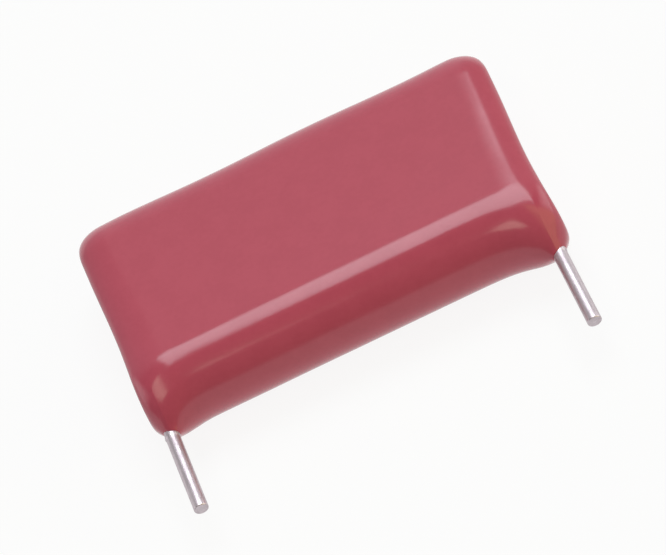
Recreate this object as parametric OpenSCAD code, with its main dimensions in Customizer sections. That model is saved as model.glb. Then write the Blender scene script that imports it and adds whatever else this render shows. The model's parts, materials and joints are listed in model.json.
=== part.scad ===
// Epoxy-dipped radial film capacitor, lying on its flat back.
// A flattened roll of metallised film carries a sprayed metal layer on each
// end. A wire is welded to each layer, and the whole is dipped in epoxy.
// X runs along the body from lead to lead, the leads point to -Y, and Z is
// the thickness. The origin is under the middle of the part, at table height.

/* [Leads] */
// Distance between the centre lines of the two leads
lead_pitch = 22.5; // [20:0.5:27.5]
// Diameter of the round wire
lead_d = 0.8; // [0.6:0.05:1]
// Length of the cut wire that stands out of the coat
lead_out = 5; // [3:0.5:25]
// Thickness of the coined end that is welded to the spray
lead_flat_t = 0.5; // [0.4:0.05:0.6]
// Width of the coined end
lead_flat_w = 1; // [0.9:0.05:1.3]
// Chamfer along the edges of the coined end
lead_flat_chamfer = 0.1; // [0.05:0.05:0.15]
// Height of the coined end above the lower edge of the element
lead_weld_h = 9; // [6:0.5:11]
// Diameter of the neck between the round wire and its coined end
lead_neck_d = 0.7; // [0.55:0.05:0.75]
// Depth of the coined end's seat in the spray
lead_sink = 0.15; // [0.05:0.05:0.2]

/* [Element] */
// Height of the flattened roll, from its lower to its upper round edge
winding_h = 12.1; // [10:0.1:16]
// Thickness of the flattened roll
winding_t = 3.9; // [3:0.1:6]
// Width of the flat slit that the winding mandrel leaves
slit_w = 6.5; // [3:0.5:7]
// Thickness of that slit
slit_t = 0.12; // [0.08:0.02:0.3]
// Thickness of the plain film wrapped round the roll
wrap_t = 0.15; // [0.1:0.05:0.4]
// Thickness of the metal sprayed on each end
spray_t = 0.4; // [0.3:0.05:0.8]
// Rounding of the sprayed layer's outer edge
spray_edge_r = 0.25; // [0.1:0.05:0.3]

/* [Coat] */
// Thickness of the epoxy over each flat face
coat_face = 0.6; // [0.4:0.05:1.2]
// Thickness of the epoxy over the round upper and lower edges
coat_side = 0.7; // [0.5:0.05:1.4]
// Thickness of the epoxy over the outside of each wire
coat_end = 0.45; // [0.45:0.05:1.2]
// Length along X over which the coat rounds off towards its ends
blend_x = 1.9; // [1:0.1:3]
// Depth of the same rounding, measured in from the coat's face
blend_m = 0.95; // [0.5:0.05:1.4]

/* [Run-down] */
// Height of the epoxy that runs down each wire below the body
rundown_h = 0.8; // [0.3:0.05:1.5]
// Thickness of the epoxy at the run-down's lower rim
rundown_rim = 0.08; // [0.05:0.01:0.15]
// Thickness of the epoxy round the wire where the run-down meets the body
rundown_root = 0.4; // [0.25:0.05:0.4]
// Depth in the body at which the run-down has its full width
rundown_sink = 0.55; // [0.4:0.05:0.8]

/* [Smoothness] */
// Number of strips in each rounding
steps = 8; // [4:1:12]

/* [Hidden] */
$fn = 96;
// Every cutting shape goes this far past what it cuts
overreach = 1;

// The wrapped element: a stadium in the Y-Z plane
element_h = winding_h + 2 * wrap_t;
element_t = winding_t + 2 * wrap_t;
// Outer face of each sprayed layer, and end of the roll under it
spray_x = lead_pitch / 2 - lead_flat_t / 2 + lead_sink;
winding_x = spray_x - spray_t;
// The coat's outside
body_h = element_h + 2 * coat_side;
body_t = element_t + 2 * coat_face;
body_x = lead_pitch / 2 + lead_d / 2 + coat_end;
// Centre of the body in the part's own frame
body_y = (rundown_h + lead_out) / 2;
body_z = body_t / 2;
// Lower edge of the body and lower rim of the run-down, from the body's centre
body_low = -body_h / 2;
rundown_low = body_low - rundown_h;
// The round wire goes this far into the run-down before it necks in
wire_grip = 0.05;
// Where the run-down has its full width, and where its stem ends in the body
rundown_top = body_low + rundown_sink;
stem_top = body_low + body_t / 2;

// Quarter of an ellipse from the end face [x, m - dm] to the flank [x - dx, m]
function corner(x, m, dx, dm) = [for (i = [0:steps])
    [x - dx + dx * cos(90 * i / steps), m - dm + dm * sin(90 * i / steps)]];

function flip_x(points) = [for (i = [len(points) - 1:-1:0])
    [-points[i][0], points[i][1]]];

function flip_m(points) = [for (i = [len(points) - 1:-1:0])
    [points[i][0], -points[i][1]]];

// Upper half of a rounded section, from its right end to its left end
function half_section(x, m, dx, dm) = concat(corner(x, m, dx, dm),
    flip_x(corner(x, m, dx, dm)));

// Flattened barrel: a flat middle between two half barrels.
// h and t are its height and thickness, and x is half its length.
module pillow(x, h, t, dx, dm) {
    half = half_section(x, t / 2, dx, dm);
    straight = h - t;
    rotate([90, 0, 0])
        linear_extrude(straight, center = true)
            polygon(concat(half, flip_m(half)));
    for (side = [0, 1])
        mirror([0, side, 0])
            translate([0, straight / 2, 0])
                rotate([0, 90, 0])
                    rotate_extrude(angle = 180)
                        polygon([for (p = concat([[x, 0]], half, [[-x, 0]]))
                            [p[1], p[0]]]);
}

// Stadium-shaped bar along X between -x and x
module stadium_bar(x, h, t) {
    straight = h - t;
    rotate([90, 0, 90])
        linear_extrude(2 * x, center = true)
            union() {
                square([straight, t], center = true);
                for (side = [-1, 1])
                    translate([side * straight / 2, 0])
                        circle(d = t);
            }
}

// The outside of the whole element, sprayed ends included
module element() {
    pillow(spray_x, element_h, element_t, spray_edge_r, spray_edge_r);
}

// Bar along Y with chamfered edges, from y = 0 to y = length
module coined_bar(length) {
    a = lead_flat_t / 2;
    b = lead_flat_w / 2;
    c = lead_flat_chamfer;
    rotate([90, 0, 0])
        mirror([0, 0, 1])
            linear_extrude(length)
                polygon([[a, c - b], [a, b - c], [a - c, b], [c - a, b],
                    [-a, b - c], [-a, c - b], [c - a, -b], [a - c, -b]]);
}

// One wire, on its own centre line: round outside, then a tapered neck in
// the run-down, then coined flat from just below the element
module wire() {
    neck_low = rundown_low + wire_grip;
    coined_top = -element_h / 2 + lead_weld_h;
    translate([0, neck_low, 0]) {
        rotate([90, 0, 0])
            cylinder(h = wire_grip + lead_out, d = lead_d);
        rotate([-90, 0, 0])
            cylinder(h = rundown_top - neck_low, d1 = lead_d, d2 = lead_neck_d);
    }
    translate([0, rundown_top, 0])
        coined_bar(coined_top - rundown_top);
}

module wire_at(side) {
    translate([side * lead_pitch / 2, 0, 0])
        wire();
}

// Epoxy round one wire: a concave skirt on a stem that ends in the body
module rundown() {
    rim_r = lead_d / 2 + rundown_rim;
    root_r = lead_d / 2 + rundown_root;
    skirt_h = rundown_top - rundown_low;
    skirt = [for (i = [0:steps])
        [rim_r + (root_r - rim_r) * (1 - cos(90 * i / steps)),
            rundown_low + skirt_h * sin(90 * i / steps)]];
    rotate([-90, 0, 0])
        rotate_extrude()
            polygon(concat([[0, rundown_low]], skirt,
                [[root_r, stem_top], [0, stem_top]]));
}

// Sprayed metal on the end at -X or +X, grooved for its wire
module end_spray(side) {
    slab = spray_t + overreach;
    color([0.62, 0.63, 0.65])
        translate([0, body_y, body_z])
            difference() {
                intersection() {
                    element();
                    translate([side * (winding_x + slab / 2), 0, 0])
                        cube([slab, element_h + overreach, element_t + overreach],
                            center = true);
                }
                wire_at(side);
            }
}

module lead(side) {
    color([0.78, 0.77, 0.76])
        translate([0, body_y, body_z])
            wire_at(side);
}

module film_winding() {
    color([0.72, 0.76, 0.82])
        translate([0, body_y, body_z])
            difference() {
                stadium_bar(winding_x, winding_h, winding_t);
                stadium_bar(winding_x + overreach, slit_w, slit_t);
            }
}

module outer_wrap() {
    color([0.92, 0.88, 0.74])
        translate([0, body_y, body_z])
            difference() {
                stadium_bar(winding_x, element_h, element_t);
                stadium_bar(winding_x + overreach, winding_h, winding_t);
            }
}

module epoxy_coat() {
    color([0.71, 0.35, 0.40])
        translate([0, body_y, body_z])
            difference() {
                union() {
                    pillow(body_x, body_h, body_t, blend_x, blend_m);
                    for (side = [-1, 1])
                        translate([side * lead_pitch / 2, 0, 0])
                            rundown();
                }
                element();
                for (side = [-1, 1])
                    wire_at(side);
            }
}

module left_end_spray() {
    end_spray(-1);
}

module right_end_spray() {
    end_spray(1);
}

module left_lead() {
    lead(-1);
}

module right_lead() {
    lead(1);
}

epoxy_coat();
outer_wrap();
film_winding();
left_end_spray();
right_end_spray();
left_lead();
right_lead();
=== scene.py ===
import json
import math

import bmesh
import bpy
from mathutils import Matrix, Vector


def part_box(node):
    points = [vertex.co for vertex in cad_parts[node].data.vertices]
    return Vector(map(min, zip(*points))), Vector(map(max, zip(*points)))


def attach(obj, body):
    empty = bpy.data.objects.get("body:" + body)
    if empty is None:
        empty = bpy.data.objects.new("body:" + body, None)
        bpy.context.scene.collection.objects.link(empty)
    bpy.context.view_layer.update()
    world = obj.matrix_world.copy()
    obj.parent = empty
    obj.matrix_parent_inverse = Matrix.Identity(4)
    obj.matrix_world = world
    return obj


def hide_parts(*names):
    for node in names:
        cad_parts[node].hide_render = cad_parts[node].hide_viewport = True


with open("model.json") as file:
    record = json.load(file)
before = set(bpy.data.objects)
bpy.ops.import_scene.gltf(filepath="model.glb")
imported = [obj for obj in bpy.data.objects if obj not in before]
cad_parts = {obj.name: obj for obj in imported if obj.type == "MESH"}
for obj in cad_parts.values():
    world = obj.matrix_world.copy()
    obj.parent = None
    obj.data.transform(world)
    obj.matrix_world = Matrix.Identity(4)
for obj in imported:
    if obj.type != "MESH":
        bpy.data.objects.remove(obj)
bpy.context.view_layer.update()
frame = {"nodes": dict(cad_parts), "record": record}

# %% [markdown]
# # A dipped film capacitor, dressed for its portrait
#
# The real object is a flattened roll of metallised plastic film. Metal is
# sprayed on its two ends, a tinned wire is welded to each, and the whole is
# dipped in red epoxy. Only the epoxy and the two cut wires can be seen.
# The CAD model already holds every solid at its real size and place, so this
# script reads its sizes from that model and adds what the eye sees: the
# soft, poured form of the epoxy, the drawn wire, and the finish of each.

MM = 0.001
coat_low, coat_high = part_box("epoxy_coat")
wire_low, wire_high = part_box("right_lead")
mounts = {mount["name"]: mount for mount in frame["record"]["mounts"]}
seat = Vector(mounts["right_lead_pin"]["pos_m"])
wire_radius = mounts["right_lead_pin"]["dims"]["r_mm"] * MM
lead_x = seat.x
body_centre = Vector((0, mounts["flat_back"]["pos_m"][1], (coat_low[2] + coat_high[2]) / 2))
body_length = coat_high[0] - coat_low[0]
body_height = 2 * (coat_high[1] - body_centre.y)
body_thickness = coat_high[2] - coat_low[2]
rundown_height = body_centre.y - body_height / 2 - seat.y
print("body %.2f x %.2f x %.2f mm, leads %.2f mm apart"
      % (body_length / MM, body_height / MM, body_thickness / MM, 2 * lead_x / MM))

# %% [markdown]
# ## Camera
#
# The part lies on its flat back, and the camera looks down on it from the
# side of its leads, a little turned about its own axis. A long lens from
# 19 cm away gives the gentle perspective of a catalogue picture. The camera
# is placed by angles about the body's centre, so that it is easy to move.

# %% Camera
VIEW_AZIMUTH = math.radians(2.01)
VIEW_ELEVATION = math.radians(51.21)
VIEW_ROLL = math.radians(-27.12)
VIEW_DISTANCE = 189.3 * MM
VIEW_SLIDE = (0.757 * MM, -1.886 * MM)
LENS_MM = 189.9
CLIP_START = 10 * MM


def place_camera():
    back = Vector((
        math.sin(VIEW_AZIMUTH) * math.cos(VIEW_ELEVATION),
        -math.cos(VIEW_AZIMUTH) * math.cos(VIEW_ELEVATION),
        math.sin(VIEW_ELEVATION),
    ))
    level_right = (-back).cross(Vector((0, 0, 1))).normalized()
    level_up = back.cross(level_right)
    right = level_right * math.cos(VIEW_ROLL) + level_up * math.sin(VIEW_ROLL)
    up = level_up * math.cos(VIEW_ROLL) - level_right * math.sin(VIEW_ROLL)
    place = body_centre + back * VIEW_DISTANCE + right * VIEW_SLIDE[0] + up * VIEW_SLIDE[1]
    data = bpy.data.cameras.new("camera")
    data.lens = LENS_MM
    data.clip_start = CLIP_START
    camera = bpy.data.objects.new("camera", data)
    turn = Matrix((right, up, back)).transposed().to_4x4()
    camera.matrix_world = Matrix.Translation(place) @ turn
    bpy.context.scene.collection.objects.link(camera)
    bpy.context.scene.camera = camera
    return camera


camera = place_camera()
print("camera at", [round(value / MM, 1) for value in camera.location])

# %% [markdown]
# ## Light
#
# Glossy epoxy shows the room, so its light is laid out like a small studio.
# A large softbox hangs overhead and draws the bright bar along the upper
# front edge. A narrow one at the left front leaves the short bright patch on
# the left corner. Each lamp is placed by the two angles that it leans from
# straight overhead, so that what it does can be foreseen.

# %% Lamps
LAMP_DISTANCE = 1.0


def towards(lean_right, lean_back):
    """The direction that leans this many degrees from straight overhead."""
    lean = math.hypot(lean_right, lean_back)
    turn = math.atan2(lean_back, lean_right)
    flat = math.sin(math.radians(lean))
    return Vector((flat * math.cos(turn), flat * math.sin(turn),
                   math.cos(math.radians(lean))))


def add_softbox(name, lean_right, lean_back, roll, half_wide, half_tall, brightness, colour):
    """A flat lamp that faces the part; its half sizes are angles in degrees."""
    away = towards(lean_right, lean_back)
    wide = Vector((0, 1, 0)).cross(away).normalized()
    tall = away.cross(wide)
    turn = math.radians(roll)
    wide, tall = (wide * math.cos(turn) + tall * math.sin(turn),
                  tall * math.cos(turn) - wide * math.sin(turn))
    data = bpy.data.lights.new(name, "AREA")
    data.shape = "RECTANGLE"
    data.size = 2 * LAMP_DISTANCE * math.tan(math.radians(half_wide))
    data.size_y = 2 * LAMP_DISTANCE * math.tan(math.radians(half_tall))
    data.energy = brightness * math.pi * data.size * data.size_y
    data.color = colour
    lamp = bpy.data.objects.new(name, data)
    turned = Matrix((wide, tall, away)).transposed().to_4x4()
    lamp.matrix_world = Matrix.Translation(body_centre + away * LAMP_DISTANCE) @ turned
    bpy.context.scene.collection.objects.link(lamp)
    print(name, "%.2f x %.2f m" % (data.size, data.size_y))


add_softbox("overhead_softbox", lean_right=11.3, lean_back=19.4, roll=17.6,
            half_wide=20.4, half_tall=16.2, brightness=4.3, colour=(0.93, 1.0, 1.06))
add_softbox("left_softbox", lean_right=-17.0, lean_back=-24.5, roll=13.0,
            half_wide=6.3, half_tall=20.0, brightness=2.4, colour=(1.10, 1.0, 0.80))

# %% [markdown]
# ## Room and floor
#
# The room is a world colour that depends only on direction. It is dim, and
# each wall or card in it is a patch with soft borders: a pale wall behind,
# with a window in it and a bright strip at its foot, white cards at the left
# and right, and a large warm card at the right front. The left front stays dark. Camera rays see plain
# white, so the background stays clean. The floor is a white sheet: what the
# camera sees is mostly its own white, with enough true light mixed in to keep
# the soft shadow under the part.

# %% Helpers for node trees
GEOMETRY_SOCKETS = {"float": "NodeSocketFloat", "int": "NodeSocketInt",
                    "material": "NodeSocketMaterial"}


def link(tree, source, target):
    tree.links.new(source, target)


def feed(tree, value, socket):
    """Sets a socket to a number, or links another node's output to it."""
    if isinstance(value, (int, float)):
        socket.default_value = value
    else:
        link(tree, value, socket)


def calc(tree, operation, *values):
    """Adds one Math node. A value is a number or another node's output."""
    node = tree.nodes.new("ShaderNodeMath")
    node.operation = operation
    for socket, value in zip(node.inputs, values):
        feed(tree, value, socket)
    return node.outputs[0]


def split(tree, vector):
    node = tree.nodes.new("ShaderNodeSeparateXYZ")
    link(tree, vector, node.inputs[0])
    return node.outputs


def join(tree, x, y, z):
    node = tree.nodes.new("ShaderNodeCombineXYZ")
    for socket, value in zip(node.inputs, (x, y, z)):
        feed(tree, value, socket)
    return node.outputs[0]


def soft_step(tree, value, start, end):
    """Rises smoothly from 0 at start to 1 at end, or falls if end is lower."""
    node = tree.nodes.new("ShaderNodeMapRange")
    node.interpolation_type = "SMOOTHSTEP"
    low, high = min(start, end), max(start, end)
    node.inputs["From Min"].default_value = low
    node.inputs["From Max"].default_value = high
    if start > end:
        node.inputs["To Min"].default_value = 1
        node.inputs["To Max"].default_value = 0
    link(tree, value, node.inputs["Value"])
    return node.outputs["Result"]


# %% Room
ROOM_DIM = 0.16
# Each patch: its colour, how much of it lights matt surfaces, and its borders.
# A border fades the patch in from the first value to the second, along one
# axis of the direction looked at.
ROOM_PATCHES = [
    ("back wall", (0.56, 0.56, 0.56), 0.4, [("y", 0.02, 0.50)]),
    ("back window", (0.80, 0.80, 0.80), 0.4, [("y", 0.54, 0.62), ("x", 0.36, 0.24),
                                              ("x", -0.25, -0.05)]),
    ("back horizon", (0.80, 0.80, 0.80), 0.4, [("z", 0.12, 0.00), ("y", 0.30, 0.55)]),
    ("left card", (1.80, 1.80, 1.80), 0.4, [("x", -0.76, -0.94), ("y", -0.32, 0.12)]),
    ("right card", (2.30, 2.30, 2.30), 0.3, [("x", 0.70, 0.92), ("y", -0.20, 0.15),
                                             ("y", 0.62, 0.50)]),
    ("warm card", (1.35, 1.20, 0.60), 0.55, [("x", 0.21, 0.29), ("y", 0.06, -0.10),
                                            ("y", -0.92, -0.82)]),
]


def add_patch(tree, axes, lighting, colour, share, borders):
    """The colour of one patch, as far as its borders and its share let it in."""
    mask = calc(tree, "MULTIPLY_ADD", lighting, share - 1, 1)
    for axis, start, end in borders:
        mask = calc(tree, "MULTIPLY", soft_step(tree, axes["xyz".index(axis)], start, end), mask)
    return join(tree, *(calc(tree, "MULTIPLY", mask, part) for part in colour))


def build_room():
    world = bpy.data.worlds.new("studio")
    bpy.context.scene.world = world
    world.use_nodes = True
    tree = world.node_tree
    tree.nodes.clear()
    place = tree.nodes.new("ShaderNodeTexCoord")
    axes = split(tree, place.outputs["Generated"])
    paths = tree.nodes.new("ShaderNodeLightPath")
    shown = join(tree, ROOM_DIM, ROOM_DIM, ROOM_DIM)
    for name, colour, share, borders in ROOM_PATCHES:
        brighter = tree.nodes.new("ShaderNodeVectorMath")
        brighter.operation = "MAXIMUM"
        brighter.label = name
        link(tree, shown, brighter.inputs[0])
        link(tree, add_patch(tree, axes, paths.outputs["Is Diffuse Ray"], colour, share, borders),
             brighter.inputs[1])
        shown = brighter.outputs[0]
    behind = tree.nodes.new("ShaderNodeMix")
    behind.data_type = "RGBA"
    link(tree, paths.outputs["Is Camera Ray"], behind.inputs["Factor"])
    link(tree, shown, behind.inputs["A"])
    behind.inputs["B"].default_value = (1, 1, 1, 1)
    background = tree.nodes.new("ShaderNodeBackground")
    link(tree, behind.outputs["Result"], background.inputs["Color"])
    output = tree.nodes.new("ShaderNodeOutputWorld")
    link(tree, background.outputs[0], output.inputs["Surface"])
    print("room has", len(ROOM_PATCHES), "patches")


build_room()

# %% Floor
FLOOR_HALF = 1.5
FLOOR_WHITE = 0.86
# How bright the sheet is in the glossy epoxy, near the part and far in front
POOL_NEAR, NEAR_GLOW = -15 * MM, 0.85
POOL_FAR, FAR_GLOW = -70 * MM, 0.30
# How bright the sheet is as a light table under the part
TABLE_GLOW, TABLE_SHARE = 1.1, 0.3
CAMERA_SHARE = 0.9


def build_floor():
    mesh = bpy.data.meshes.new("floor")
    shape = bmesh.new()
    bmesh.ops.create_grid(shape, x_segments=1, y_segments=1, size=FLOOR_HALF)
    shape.to_mesh(mesh)
    shape.free()
    floor = bpy.data.objects.new("floor", mesh)
    bpy.context.scene.collection.objects.link(floor)
    finish = bpy.data.materials.new("white_sheet")
    finish.use_nodes = True
    tree = finish.node_tree
    tree.nodes.clear()
    paper = tree.nodes.new("ShaderNodeBsdfDiffuse")
    paper.inputs["Color"].default_value = (FLOOR_WHITE, FLOOR_WHITE, FLOOR_WHITE, 1)
    paths = tree.nodes.new("ShaderNodeLightPath")
    seen = paths.outputs["Is Camera Ray"]
    mirrored = calc(tree, "MAXIMUM", paths.outputs["Is Glossy Ray"],
                    paths.outputs["Is Transmission Ray"])
    lighting = calc(tree, "SUBTRACT", calc(tree, "SUBTRACT", 1, seen), mirrored)
    place = tree.nodes.new("ShaderNodeTexCoord").outputs["Object"]
    near = soft_step(tree, split(tree, place)[1], POOL_FAR, POOL_NEAR)
    pool = calc(tree, "MULTIPLY_ADD", near, NEAR_GLOW - FAR_GLOW, FAR_GLOW)
    strength = calc(tree, "MULTIPLY_ADD", mirrored, pool, calc(
        tree, "MULTIPLY_ADD", lighting, TABLE_GLOW, seen))
    share = calc(tree, "MULTIPLY_ADD", seen, CAMERA_SHARE, calc(
        tree, "MULTIPLY_ADD", lighting, TABLE_SHARE, mirrored))
    glow = tree.nodes.new("ShaderNodeEmission")
    link(tree, strength, glow.inputs["Strength"])
    mix = tree.nodes.new("ShaderNodeMixShader")
    link(tree, share, mix.inputs[0])
    link(tree, paper.outputs[0], mix.inputs[1])
    link(tree, glow.outputs[0], mix.inputs[2])
    output = tree.nodes.new("ShaderNodeOutputMaterial")
    link(tree, mix.outputs[0], output.inputs["Surface"])
    mesh.materials.append(finish)


build_floor()
bpy.context.scene.view_settings.view_transform = "Standard"

# %% [markdown]
# ## The epoxy coat
#
# The coat is poured, not machined: its section is a stadium, its ends round
# off slowly, and it creeps down each wire. A box grid can be bent into that
# form by a rule, so Geometry Nodes make it. Each point of the grid is
# measured from the stadium's middle line, and the distance along X and the
# distance outwards are then rounded off together where they meet.

# %% A geometry tree with named inputs
def new_geometry_tree(name, inputs):
    """A geometry tree with one named input for each (name, kind, value)."""
    tree = bpy.data.node_groups.new(name, "GeometryNodeTree")
    tree.interface.new_socket(name="Geometry", in_out="OUTPUT",
                              socket_type="NodeSocketGeometry")
    for label, kind, value in inputs:
        socket = tree.interface.new_socket(name=label, in_out="INPUT",
                                           socket_type=GEOMETRY_SOCKETS[kind])
        if value is not None:
            socket.default_value = value
    group_input = tree.nodes.new("NodeGroupInput")
    return tree, {socket.name: socket for socket in group_input.outputs}


# %% Coat tree
# How much the poured form stands past the plain one that the sizes give
HEIGHT_SWELL = 0.05 * MM
LEFT_DRIP = 0.08 * MM
RIGHT_DRIP = 0.33 * MM
# How far each crease lies inside its wire's centre line
RIDGE_INSET = 0.1 * MM
COAT_INPUTS = [
    ("Length", "float", body_length),
    ("Height", "float", body_height + HEIGHT_SWELL),
    ("Thickness", "float", body_thickness),
    ("End Blend Along", "float", 2.05 * MM),
    ("End Blend Growth", "float", 0.052),
    ("End Blend In", "float", 0.95 * MM),
    ("End Waist", "float", 0.012),
    ("Left Flare", "float", 0.16 * MM),
    ("Right Flare", "float", 0.22 * MM),
    ("Right Foot", "float", 0.12 * MM),
    ("Back Wave", "float", 0.055 * MM),
    ("Wave Length", "float", 11.5 * MM),
    ("Wave Crest", "float", 1.9 * MM),
    ("Lead X", "float", lead_x),
    ("Wire Radius", "float", wire_radius),
    ("Left Heel", "float", 0.58 * MM),
    ("Right Heel", "float", 0.78 * MM),
    ("Left Spread", "float", 1.3 * MM),
    ("Right Spread", "float", 1.9 * MM),
    ("Heel Depth Share", "float", 0.35),
    ("Left Run-down", "float", rundown_height + LEFT_DRIP),
    ("Right Run-down", "float", rundown_height + RIGHT_DRIP),
    ("Meniscus", "float", 0.35 * MM),
    ("Ridge", "float", 0.06 * MM),
    ("Ridge Width", "float", 0.35 * MM),
    ("Ridge X", "float", lead_x - RIDGE_INSET),
    ("Ripple", "float", 0.012 * MM),
    ("Ripple Scale", "float", 260.0),
    ("Seed", "int", 4),
    ("Cells X", "int", 200),
    ("Cells Y", "int", 100),
    ("Cells Z", "int", 44),
    ("Finish", "material", None),
]
# How strongly the grid lines crowd towards the ends of each axis, or towards
# its middle where the value is below 0
CROWD_X, CROWD_Y, CROWD_Z = 0.6, 0.25, -0.4
# Each pair is where a form is absent and where it is full. They are shares of
# half the height, apart from WAVE_END, whose shares are of the whole length
FLARE_START, FLARE_END = (-0.45, 0.46), (1.0, 0.6)
FOOT_START = (-0.6, -0.95)
WAVE_START, WAVE_END = (0.4, 1.0), (0.46, 0.36)
# The same for the crease, as shares of the lower curve
RIDGE_START = (0.35, 0.8)
# Keeps a division from meeting a zero
TINY = 1e-9


def gather(tree, value, strength):
    """Crowds grid lines towards -1 and 1, or towards 0 if strength is below 0."""
    wave = calc(tree, "SINE", calc(tree, "MULTIPLY", value, math.pi))
    return calc(tree, "MULTIPLY_ADD", wave, strength / math.pi, value)


def round_corner(tree, along, outwards):
    """Turns the corner of a unit square into a quarter circle."""
    largest = calc(tree, "MAXIMUM", along, outwards)
    squares = calc(tree, "ADD", calc(tree, "MULTIPLY", along, along),
                   calc(tree, "MULTIPLY", outwards, outwards))
    ratio = calc(tree, "DIVIDE", largest,
                 calc(tree, "MAXIMUM", calc(tree, "SQRT", squares), TINY))
    return (calc(tree, "MULTIPLY", along, ratio),
            calc(tree, "MULTIPLY", outwards, ratio))


def set_position(tree, geometry, position=None, offset=None):
    node = tree.nodes.new("GeometryNodeSetPosition")
    link(tree, geometry, node.inputs["Geometry"])
    if position is not None:
        link(tree, position, node.inputs["Position"])
    if offset is not None:
        link(tree, offset, node.inputs["Offset"])
    return node.outputs["Geometry"]


def position_of(tree):
    return split(tree, tree.nodes.new("GeometryNodeInputPosition").outputs[0])


def half(tree, value):
    return calc(tree, "MULTIPLY", value, 0.5)


def down_lower_curve(tree, size, y):
    """0 where the section's lower curve begins, and 1 at its lowest point."""
    radius = half(tree, size["Thickness"])
    middle = calc(tree, "SUBTRACT", half(tree, size["Height"]), radius)
    return calc(tree, "DIVIDE", calc(tree, "SUBTRACT", calc(tree, "MULTIPLY", y, -1),
                                     middle), radius)


def add_pillow(tree, size, geometry):
    """Bends a box grid from -1 to 1 into a flattened barrel with soft ends."""
    u, v, w = position_of(tree)
    half_length = half(tree, size["Length"])
    half_height = half(tree, size["Height"])
    radius = half(tree, size["Thickness"])
    x = calc(tree, "MULTIPLY", gather(tree, u, CROWD_X), half_length)
    y = calc(tree, "MULTIPLY", gather(tree, v, CROWD_Y), half_height)
    z = calc(tree, "MULTIPLY", gather(tree, w, CROWD_Z), radius)

    # The stadium: points keep their distance from its middle line
    middle = calc(tree, "SUBTRACT", half_height, radius)
    on_line = calc(tree, "MAXIMUM", calc(tree, "MINIMUM", y, middle),
                   calc(tree, "MULTIPLY", middle, -1))
    away = calc(tree, "SUBTRACT", y, on_line)
    outwards = calc(tree, "MAXIMUM", calc(tree, "ABSOLUTE", away),
                    calc(tree, "ABSOLUTE", z))
    reach = calc(tree, "MAXIMUM", calc(tree, "SQRT", calc(
        tree, "ADD", calc(tree, "MULTIPLY", away, away),
        calc(tree, "MULTIPLY", z, z))), TINY)

    # The ends: length and distance outwards are rounded off together, over
    # a length that grows towards the leads
    blend_x = calc(tree, "MULTIPLY_ADD", y, calc(
        tree, "MULTIPLY", size["End Blend Growth"], -1), size["End Blend Along"])
    flat_x = calc(tree, "SUBTRACT", half_length, blend_x)
    flat_m = calc(tree, "SUBTRACT", radius, size["End Blend In"])
    over_x = calc(tree, "SUBTRACT", calc(tree, "ABSOLUTE", x), flat_x)
    over_m = calc(tree, "SUBTRACT", outwards, flat_m)
    part_x = calc(tree, "DIVIDE", calc(tree, "MAXIMUM", over_x, 0), blend_x)
    part_m = calc(tree, "DIVIDE", calc(tree, "MAXIMUM", over_m, 0), size["End Blend In"])
    part_x, part_m = round_corner(tree, part_x, part_m)
    near_x = calc(tree, "MINIMUM", calc(tree, "ABSOLUTE", x), flat_x)
    near_m = calc(tree, "MINIMUM", outwards, flat_m)
    end_x = calc(tree, "MULTIPLY_ADD", part_x, blend_x, near_x)
    end_m = calc(tree, "MULTIPLY_ADD", part_m, size["End Blend In"], near_m)
    scale = calc(tree, "DIVIDE", end_m, reach)
    return set_position(tree, geometry, join(
        tree,
        calc(tree, "MULTIPLY", calc(tree, "SIGN", x), end_x),
        calc(tree, "MULTIPLY_ADD", away, scale, on_line),
        calc(tree, "MULTIPLY", z, scale),
    ))


def add_waist(tree, size, geometry):
    """Draws the two ends in at half height, and flares them towards the back."""
    x, y, _ = position_of(tree)
    height = calc(tree, "DIVIDE", y, half(tree, size["Height"]))
    hollow = calc(tree, "SUBTRACT", 1, calc(tree, "MULTIPLY", height, height))
    shift = calc(tree, "MULTIPLY", calc(tree, "MULTIPLY", x, hollow),
                 calc(tree, "MULTIPLY", size["End Waist"], -1))
    part = calc(tree, "DIVIDE", x, half(tree, size["Length"]))
    right = calc(tree, "MAXIMUM", part, 0)
    left = calc(tree, "MINIMUM", part, 0)
    back = calc(tree, "MULTIPLY", soft_step(tree, height, *FLARE_START),
                soft_step(tree, height, *FLARE_END))
    flare = calc(tree, "ADD", calc(tree, "MULTIPLY", right, size["Right Flare"]),
                 calc(tree, "MULTIPLY", left, size["Left Flare"]))
    shift = calc(tree, "MULTIPLY_ADD", flare, back, shift)
    foot = calc(tree, "MULTIPLY", soft_step(tree, height, *FOOT_START), size["Right Foot"])
    return set_position(tree, geometry, offset=join(
        tree, calc(tree, "MULTIPLY_ADD", right, foot, shift), 0, 0))


def add_back_wave(tree, size, geometry):
    """Lets the long back edge swing in and out a little along its length."""
    x, y, _ = position_of(tree)
    height = calc(tree, "DIVIDE", y, half(tree, size["Height"]))
    turn = calc(tree, "DIVIDE", calc(tree, "SUBTRACT", x, size["Wave Crest"]), size["Wave Length"])
    wave = calc(tree, "COSINE", calc(tree, "MULTIPLY", turn, 2 * math.pi))
    part = calc(tree, "DIVIDE", calc(tree, "ABSOLUTE", x), size["Length"])
    near_back = calc(tree, "MULTIPLY", soft_step(tree, height, *WAVE_START),
                     soft_step(tree, part, *WAVE_END))
    return set_position(tree, geometry, offset=join(
        tree, 0, calc(tree, "MULTIPLY", calc(tree, "MULTIPLY", wave, near_back),
                      size["Back Wave"]), 0))


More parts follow.
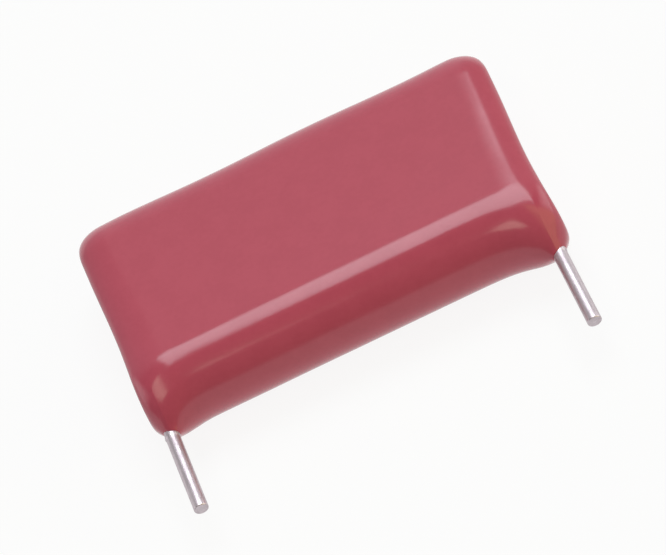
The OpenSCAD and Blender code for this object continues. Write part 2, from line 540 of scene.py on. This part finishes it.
def add_rundown(tree, size, geometry, side, name):
    """Draws the lower face out round one wire: a wide heel, then a steep skirt."""
    heel, spread = size[name + " Heel"], size[name + " Spread"]
    x, y, z = position_of(tree)
    below = calc(tree, "MINIMUM", calc(tree, "MAXIMUM", down_lower_curve(tree, size, y), 0), 1)
    from_wire = calc(tree, "MULTIPLY_ADD", size["Lead X"], -side, x)
    across = calc(tree, "MULTIPLY", from_wire, from_wire)
    shallow = calc(tree, "MULTIPLY", z, size["Heel Depth Share"])
    wide = calc(tree, "DIVIDE", calc(tree, "SQRT", calc(
        tree, "ADD", across, calc(tree, "MULTIPLY", shallow, shallow))), spread)
    bulge = calc(tree, "MULTIPLY", heel, calc(tree, "EXPONENT", calc(
        tree, "MULTIPLY", calc(tree, "MULTIPLY", wide, wide), -1)))
    distance = calc(tree, "SQRT", calc(tree, "ADD", across, calc(tree, "MULTIPLY", z, z)))
    beyond = calc(tree, "MAXIMUM", calc(tree, "SUBTRACT", distance,
                                        size["Wire Radius"]), 0)
    close = calc(tree, "DIVIDE", beyond, size["Meniscus"])
    ring = calc(tree, "MULTIPLY", calc(tree, "SUBTRACT", size[name + " Run-down"], heel),
                calc(tree, "EXPONENT", calc(tree, "MULTIPLY", close, -1)))
    fall = calc(tree, "MULTIPLY", calc(tree, "ADD", bulge, ring),
                calc(tree, "MULTIPLY", below, -1))
    return set_position(tree, geometry, offset=join(tree, 0, fall, 0))


def along_normal(tree, geometry, amount):
    scaled = tree.nodes.new("ShaderNodeVectorMath")
    scaled.operation = "SCALE"
    link(tree, tree.nodes.new("GeometryNodeInputNormal").outputs[0], scaled.inputs[0])
    link(tree, amount, scaled.inputs["Scale"])
    return set_position(tree, geometry, offset=scaled.outputs[0])


def add_ridge(tree, size, geometry):
    """Raises a soft crease from each upper front corner down to the wire."""
    x, y, _ = position_of(tree)
    across = calc(tree, "ABSOLUTE", calc(tree, "SUBTRACT", calc(tree, "ABSOLUTE", x),
                                         size["Ridge X"]))
    crest = calc(tree, "EXPONENT", calc(tree, "DIVIDE", across, calc(
        tree, "MULTIPLY", size["Ridge Width"], -1)))
    fade = soft_step(tree, down_lower_curve(tree, size, y), *RIDGE_START)
    return along_normal(tree, geometry, calc(
        tree, "MULTIPLY", calc(tree, "MULTIPLY", crest, fade), size["Ridge"]))


def add_ripple(tree, size, geometry):
    """Moves the surface in and out by a few micrometres, as a dip leaves it."""
    waves = tree.nodes.new("ShaderNodeTexNoise")
    waves.noise_dimensions = "4D"
    waves.inputs["Detail"].default_value = 1.0
    link(tree, size["Ripple Scale"], waves.inputs["Scale"])
    link(tree, size["Seed"], waves.inputs["W"])
    swing = calc(tree, "MULTIPLY", calc(tree, "SUBTRACT", waves.outputs[0], 0.5),
                 calc(tree, "MULTIPLY", size["Ripple"], 2))
    return along_normal(tree, geometry, swing)


def build_coat_tree():
    tree, size = new_geometry_tree("poured epoxy coat", COAT_INPUTS)
    cube = tree.nodes.new("GeometryNodeMeshCube")
    cube.inputs["Size"].default_value = (2, 2, 2)
    for axis in "XYZ":
        link(tree, size["Cells " + axis], cube.inputs["Vertices " + axis])
    geometry = add_pillow(tree, size, cube.outputs["Mesh"])
    geometry = add_waist(tree, size, geometry)
    geometry = add_back_wave(tree, size, geometry)
    geometry = add_rundown(tree, size, geometry, -1, "Left")
    geometry = add_rundown(tree, size, geometry, 1, "Right")
    geometry = add_ridge(tree, size, geometry)
    geometry = add_ripple(tree, size, geometry)
    smooth = tree.nodes.new("GeometryNodeSetShadeSmooth")
    realize = tree.nodes.new("GeometryNodeRealizeInstances")
    finish = tree.nodes.new("GeometryNodeSetMaterial")
    output = tree.nodes.new("NodeGroupOutput")
    link(tree, geometry, smooth.inputs["Geometry"])
    link(tree, smooth.outputs[0], realize.inputs[0])
    link(tree, realize.outputs[0], finish.inputs["Geometry"])
    link(tree, size["Finish"], finish.inputs["Material"])
    link(tree, finish.outputs[0], output.inputs[0])
    print("coat tree has", len(tree.nodes), "nodes")
    return tree


# %% Bake the coat
def bake_tree(name, tree, values, shift):
    """Runs a geometry tree once and keeps its result, moved by shift, as a mesh."""
    host = bpy.data.objects.new(name, bpy.data.meshes.new(name))
    bpy.context.scene.collection.objects.link(host)
    modifier = host.modifiers.new("form", "NODES")
    modifier.node_group = tree
    for item in tree.interface.items_tree:
        if item.in_out == "INPUT" and item.name in values:
            modifier[item.identifier] = values[item.name]
    graph = bpy.context.evaluated_depsgraph_get()
    mesh = bpy.data.meshes.new_from_object(host.evaluated_get(graph))
    mesh.name = name
    host.modifiers.remove(modifier)
    host.data = mesh
    mesh.transform(Matrix.Translation(shift))
    print(name, "has", len(mesh.polygons), "faces")
    return host


# %% [markdown]
# ## Finishes
#
# Epoxy is a clear resin full of pigment: an even colour under a glossy skin.
# Two node groups carry what the finishes share. One gives slow cloudy
# blotches, the other a fine pitted skin. Each material places them with its
# own scale, and keeps its own shader.

# %% Shared groups
SHADER_SOCKETS = {"float": "NodeSocketFloat", "vector": "NodeSocketVector"}
# How much slow and fine blotches count in the cloud mask, and its borders
SLOW_SHARE, FINE_SHARE = 0.6, 0.4
CLOUD_BORDER = (0.36, 0.64)


def new_group(name, inputs, outputs):
    group = bpy.data.node_groups.new(name, "ShaderNodeTree")
    for label, kind, value in inputs:
        socket = group.interface.new_socket(name=label, in_out="INPUT",
                                            socket_type=SHADER_SOCKETS[kind])
        if value is not None:
            socket.default_value = value
    for label, kind in outputs:
        group.interface.new_socket(name=label, in_out="OUTPUT",
                                   socket_type=SHADER_SOCKETS[kind])
    return group, group.nodes.new("NodeGroupInput"), group.nodes.new("NodeGroupOutput")


def noise(tree, vector, scale, detail):
    node = tree.nodes.new("ShaderNodeTexNoise")
    node.inputs["Detail"].default_value = detail
    link(tree, vector, node.inputs["Vector"])
    link(tree, scale, node.inputs["Scale"])
    return node.outputs[0]


def build_cloud_group():
    """A mask of slow blotches with finer ones inside them."""
    group, put, out = new_group(
        "cloudy blotches",
        [("Vector", "vector", None), ("Scale", "float", 500.0), ("Fine Scale", "float", 2500.0)],
        [("Mask", "float")])
    slow = noise(group, put.outputs["Vector"], put.outputs["Scale"], 2.0)
    fine = noise(group, put.outputs["Vector"], put.outputs["Fine Scale"], 2.0)
    both = calc(group, "ADD", calc(group, "MULTIPLY", slow, SLOW_SHARE),
                calc(group, "MULTIPLY", fine, FINE_SHARE))
    link(group, soft_step(group, both, *CLOUD_BORDER), out.inputs["Mask"])
    return group


def build_skin_group():
    """Heights of a surface with slow ripples and fine pits."""
    group, put, out = new_group(
        "fine skin",
        [("Vector", "vector", None), ("Ripple Scale", "float", 900.0),
         ("Pit Scale", "float", 4000.0), ("Pits", "float", 0.25)],
        [("Height", "float")])
    ripple = noise(group, put.outputs["Vector"], put.outputs["Ripple Scale"], 1.0)
    pits = noise(group, put.outputs["Vector"], put.outputs["Pit Scale"], 1.0)
    height = calc(group, "MULTIPLY_ADD", pits, put.outputs["Pits"], ripple)
    link(group, height, out.inputs["Height"])
    return group


CLOUDS = build_cloud_group()
SKIN = build_skin_group()
print("shared groups:", CLOUDS.name, "and", SKIN.name)


# %% Helpers for materials
def new_material(name, metallic, roughness, ior=1.5):
    finish = bpy.data.materials.new(name)
    finish.use_nodes = True
    tree = finish.node_tree
    shader = tree.nodes["Principled BSDF"]
    shader.inputs["Metallic"].default_value = metallic
    shader.inputs["Roughness"].default_value = roughness
    shader.inputs["IOR"].default_value = ior
    place = tree.nodes.new("ShaderNodeTexCoord").outputs["Object"]
    return finish, tree, shader, place


def use_group(tree, group, place, **values):
    node = tree.nodes.new("ShaderNodeGroup")
    node.node_tree = group
    link(tree, place, node.inputs["Vector"])
    for label, value in values.items():
        node.inputs[label.replace("_", " ")].default_value = value
    return node.outputs[0]


def blend_colours(tree, mask, first, second):
    node = tree.nodes.new("ShaderNodeMix")
    node.data_type = "RGBA"
    link(tree, mask, node.inputs["Factor"])
    for socket, value in ((node.inputs["A"], first), (node.inputs["B"], second)):
        if isinstance(value, tuple):
            socket.default_value = (*value, 1)
        else:
            link(tree, value, socket)
    return node.outputs["Result"]


def span(tree, mask, low, high):
    return calc(tree, "MULTIPLY_ADD", mask, high - low, low)


def add_bump(tree, shader, height, distance, strength):
    node = tree.nodes.new("ShaderNodeBump")
    node.inputs["Strength"].default_value = strength
    node.inputs["Distance"].default_value = distance
    link(tree, height, node.inputs["Height"])
    link(tree, node.outputs["Normal"], shader.inputs["Normal"])


# %% Red epoxy
def make_epoxy():
    finish, tree, shader, place = new_material("red_epoxy", 0.0, 0.16)
    clouds = use_group(tree, CLOUDS, place, Scale=700.0, Fine_Scale=3200.0)
    colour = blend_colours(tree, clouds, (0.475, 0.069, 0.110), (0.495, 0.075, 0.118))
    link(tree, colour, shader.inputs["Base Color"])
    link(tree, span(tree, clouds, 0.17, 0.15), shader.inputs["Roughness"])
    skin = use_group(tree, SKIN, place, Ripple_Scale=500.0, Pit_Scale=3500.0, Pits=0.1)
    add_bump(tree, shader, skin, 0.0006 * MM, 1.0)
    return finish


epoxy = make_epoxy()
coat = bake_tree("dipped_coat", build_coat_tree(), {"Finish": epoxy}, body_centre)
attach(coat, "root")
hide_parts("epoxy_coat")

# %% [markdown]
# ## The wires
#
# Each wire is copper-clad steel with a tin coat, cut square. Inside the epoxy it
# necks in and is coined flat where it is welded, so its section changes from
# round to a rounded bar. A loft of rings along its length follows that: each
# ring is a superellipse with its own two half widths and its own squareness.

# %% Wire shape
SECTION_POINTS = 64
CUT_EDGE = 0.05 * MM
COLLAR = 0.035 * MM
COLLAR_LENGTH = 0.22 * MM
NECK_RADIUS = 0.35 * MM
NECK_LENGTH = 1.35 * MM
NECK_GAP = 0.1 * MM
COINED_HALF = 0.25 * MM
# How square a ring is: 2 makes an ellipse, and more makes a rounded bar
ROUND, COINED = 2, 6
# Numbers of steps between rings
EDGE_STEPS = 5
ROUND_STEPS = 12
COLLAR_STEPS = 8
NECK_STEPS = 4


def wire_stations():
    """Rings from the cut end to the weld: y, half width, half depth, squareness."""
    tip, top = wire_low[1], wire_high[1]
    coined_depth = (wire_high[2] - wire_low[2]) / 2
    r = wire_radius
    rings = []
    for step in range(EDGE_STEPS, -1, -1):
        angle = math.pi / 2 * step / EDGE_STEPS
        half_width = r - CUT_EDGE * (1 - math.cos(angle))
        rings.append((tip + CUT_EDGE * (1 - math.sin(angle)), half_width, half_width, ROUND))
    round_start = rings[-1][0]
    collar_start = seat.y - COLLAR_LENGTH
    length = collar_start - round_start
    rings += [(round_start + length * step / ROUND_STEPS, r, r, ROUND)
              for step in range(1, ROUND_STEPS)]
    for step in range(COLLAR_STEPS + 1):
        part = step / COLLAR_STEPS
        half_width = r + COLLAR * part ** 2
        rings.append((collar_start + COLLAR_LENGTH * part, half_width, half_width, ROUND))
    for step in range(1, NECK_STEPS + 1):
        part = step / NECK_STEPS
        half_width = r + (NECK_RADIUS - r) * part
        rings.append((seat.y + (NECK_LENGTH - NECK_GAP) * part, half_width, half_width, ROUND))
    rings.append((seat.y + NECK_LENGTH, COINED_HALF, coined_depth, COINED))
    rings.append((top - CUT_EDGE, COINED_HALF, coined_depth, COINED))
    rings.append((top, COINED_HALF - CUT_EDGE / 2, coined_depth - CUT_EDGE / 2, COINED))
    return rings


def ring_points(y, half_wide, half_deep, power, centre_x):
    points = []
    for step in range(SECTION_POINTS):
        turn = 2 * math.pi * step / SECTION_POINTS
        c, s = math.cos(turn), math.sin(turn)
        x = math.copysign(abs(c) ** (2 / power), c) * half_wide
        z = math.copysign(abs(s) ** (2 / power), s) * half_deep
        points.append((centre_x + x, y, seat.z + z))
    return points


def make_wire(name, side, finish):
    shape = bmesh.new()
    rings = [[shape.verts.new(point) for point in ring_points(*station, side * lead_x)]
             for station in wire_stations()]
    for low, high in zip(rings, rings[1:]):
        for step in range(SECTION_POINTS):
            following = (step + 1) % SECTION_POINTS
            shape.faces.new((low[step], high[step], high[following], low[following]))
    for ring, y, order in ((rings[0], wire_low[1], 1), (rings[-1], wire_high[1], -1)):
        middle = shape.verts.new((side * lead_x, y, seat.z))
        for step in range(SECTION_POINTS):
            corners = (middle, ring[step], ring[(step + 1) % SECTION_POINTS])
            shape.faces.new(corners[::order])
    bmesh.ops.recalc_face_normals(shape, faces=shape.faces)
    for face in shape.faces:
        face.smooth = True
    mesh = bpy.data.meshes.new(name)
    shape.to_mesh(mesh)
    shape.free()
    mesh.materials.append(finish)
    wire = bpy.data.objects.new(name, mesh)
    bpy.context.scene.collection.objects.link(wire)
    print(name, "has", len(mesh.polygons), "faces")
    return wire


# %% Tinned wire
DRAW_STRETCH = 0.06
STAIN_STRENGTH = 0.5


def make_tinned_wire():
    finish, tree, shader, place = new_material("tinned_wire", 1.0, 0.4)
    drawn = tree.nodes.new("ShaderNodeMapping")
    drawn.inputs["Scale"].default_value = (1, DRAW_STRETCH, 1)
    link(tree, place, drawn.inputs["Vector"])
    lines = use_group(tree, CLOUDS, drawn.outputs[0], Scale=9000.0, Fine_Scale=20000.0)
    stains = use_group(tree, CLOUDS, place, Scale=1800.0, Fine_Scale=6000.0)
    bright = blend_colours(tree, lines, (0.58, 0.515, 0.545), (0.68, 0.60, 0.635))
    colour = blend_colours(tree, calc(tree, "MULTIPLY", stains, STAIN_STRENGTH), bright, (0.50, 0.43, 0.46))
    link(tree, colour, shader.inputs["Base Color"])
    link(tree, span(tree, stains, 0.36, 0.46), shader.inputs["Roughness"])
    add_bump(tree, shader, lines, 0.003 * MM, 0.6)
    return finish


tinned = make_tinned_wire()
for side, name, node in ((-1, "left_wire", "left_lead"), (1, "right_wire", "right_lead")):
    wire = make_wire(name, side, tinned)
    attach(wire, "root")
    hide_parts(node)

# %% [markdown]
# ## The element inside
#
# The roll, its wrap and the sprayed ends are hidden by the epoxy, but they
# are part of the model, and show in a cut-away. Their CAD shapes are right as
# they are, so each only gets its finish: zinc sprayed in droplets, a roll
# whose edges are turns of film, and a plain milky wrap.

# %% Finishes of the element
TURN_STRETCH = 0.05


def make_zinc():
    finish, tree, shader, place = new_material("sprayed_zinc", 1.0, 0.6)
    droplets = use_group(tree, CLOUDS, place, Scale=6000.0, Fine_Scale=14000.0)
    colour = blend_colours(tree, droplets, (0.34, 0.35, 0.37), (0.55, 0.56, 0.58))
    link(tree, colour, shader.inputs["Base Color"])
    link(tree, span(tree, droplets, 0.7, 0.5), shader.inputs["Roughness"])
    add_bump(tree, shader, use_group(tree, SKIN, place, Ripple_Scale=7000.0,
                                     Pit_Scale=16000.0, Pits=0.5), 0.03 * MM, 0.8)
    return finish


def make_film():
    finish, tree, shader, place = new_material("metallised_film", 0.85, 0.28)
    turns = tree.nodes.new("ShaderNodeMapping")
    turns.inputs["Scale"].default_value = (TURN_STRETCH, 1, 1)
    link(tree, place, turns.inputs["Vector"])
    layers = use_group(tree, CLOUDS, turns.outputs[0], Scale=12000.0, Fine_Scale=30000.0)
    colour = blend_colours(tree, layers, (0.55, 0.58, 0.64), (0.72, 0.75, 0.80))
    link(tree, colour, shader.inputs["Base Color"])
    link(tree, span(tree, layers, 0.34, 0.22), shader.inputs["Roughness"])
    add_bump(tree, shader, layers, 0.004 * MM, 0.5)
    return finish


def make_wrap():
    finish, tree, shader, place = new_material("plain_film", 0.0, 0.3, 1.6)
    haze = use_group(tree, CLOUDS, place, Scale=400.0, Fine_Scale=2600.0)
    colour = blend_colours(tree, haze, (0.78, 0.72, 0.52), (0.86, 0.81, 0.64))
    link(tree, colour, shader.inputs["Base Color"])
    link(tree, span(tree, haze, 0.26, 0.36), shader.inputs["Roughness"])
    add_bump(tree, shader, use_group(tree, SKIN, place, Ripple_Scale=600.0,
                                     Pit_Scale=5000.0, Pits=0.2), 0.004 * MM, 0.5)
    return finish


def dress(node, finish):
    """Gives a CAD node's object one finish in place of its plain colour."""
    mesh = frame["nodes"][node].data
    mesh.materials.clear()
    mesh.materials.append(finish)


zinc = make_zinc()
for node, finish in (("left_end_spray", zinc), ("right_end_spray", zinc),
                     ("film_winding", make_film()), ("outer_wrap", make_wrap())):
    dress(node, finish)
    print(node, "is finished in", finish.name)
